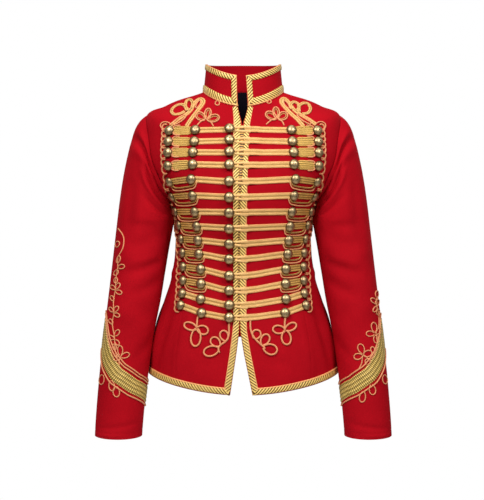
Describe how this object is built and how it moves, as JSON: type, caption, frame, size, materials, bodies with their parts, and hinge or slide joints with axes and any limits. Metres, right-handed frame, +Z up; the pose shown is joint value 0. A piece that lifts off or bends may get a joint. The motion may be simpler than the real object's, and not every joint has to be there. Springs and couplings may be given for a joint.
{
  "type": "napoleon jacket",
  "caption": "Short scarlet high-collared military-style jacket with gold braid frogging, worn shape with empty neck, hem and cuffs.",
  "frame": {"origin": "on the centre line, level with the points where the shoulders meet the collar", "axes": "+Z up, -Y towards the front of the jacket, +X towards the wearer's left"},
  "size_m": [0.571, 0.2544, 0.7316],
  "materials": {
    "scarlet_cloth": "matt drill weave",
    "black_lining": "plain lining",
    "gold_braid": "metallic gold braid with antique brass buttons"
  },
  "bodies": {
    "root": {"back_left": "scarlet_cloth", "back_right": "scarlet_cloth", "chest_trefoil_left": "gold_braid", "chest_trefoil_right": "gold_braid", "collar": "scarlet_cloth", "collar_braid": "gold_braid", "cuff_band_left": "gold_braid", "cuff_band_right": "gold_braid", "cuff_high_cord_left": "gold_braid", "cuff_high_cord_right": "gold_braid", "cuff_low_cord_left": "gold_braid", "cuff_low_cord_right": "gold_braid", "edge_braid_left": "gold_braid", "edge_braid_right": "gold_braid", "frog_left_01": "gold_braid", "frog_left_02": "gold_braid", "frog_left_03": "gold_braid", "frog_left_04": "gold_braid", "frog_left_05": "gold_braid", "frog_left_06": "gold_braid", "frog_left_07": "gold_braid", "frog_left_08": "gold_braid", "frog_left_09": "gold_braid", "frog_left_10": "gold_braid", "frog_left_11": "gold_braid", "frog_left_12": "gold_braid", "frog_left_13": "gold_braid", "frog_left_14": "gold_braid", "frog_right_01": "gold_braid", "frog_right_02": "gold_braid", "frog_right_03": "gold_braid", "frog_right_04": "gold_braid", "frog_right_05": "gold_braid", "frog_right_06": "gold_braid", "frog_right_07": "gold_braid", "frog_right_08": "gold_braid", "frog_right_09": "gold_braid", "frog_right_10": "gold_braid", "frog_right_11": "gold_braid", "frog_right_12": "gold_braid", "frog_right_13": "gold_braid", "frog_right_14": "gold_braid", "front_left": "scarlet_cloth", "front_right": "scarlet_cloth", "hem_braid_back": "gold_braid", "neck_lining": "black_lining", "shoulder_knot_left": "gold_braid", "shoulder_knot_right": "gold_braid", "side_left": "scarlet_cloth", "side_right": "scarlet_cloth", "skirt_scroll_left": "gold_braid", "skirt_scroll_right": "gold_braid", "skirt_trefoil_left": "gold_braid", "skirt_trefoil_right": "gold_braid", "sleeve_left": "scarlet_cloth", "sleeve_right": "scarlet_cloth"}
  },
  "joints": []
}
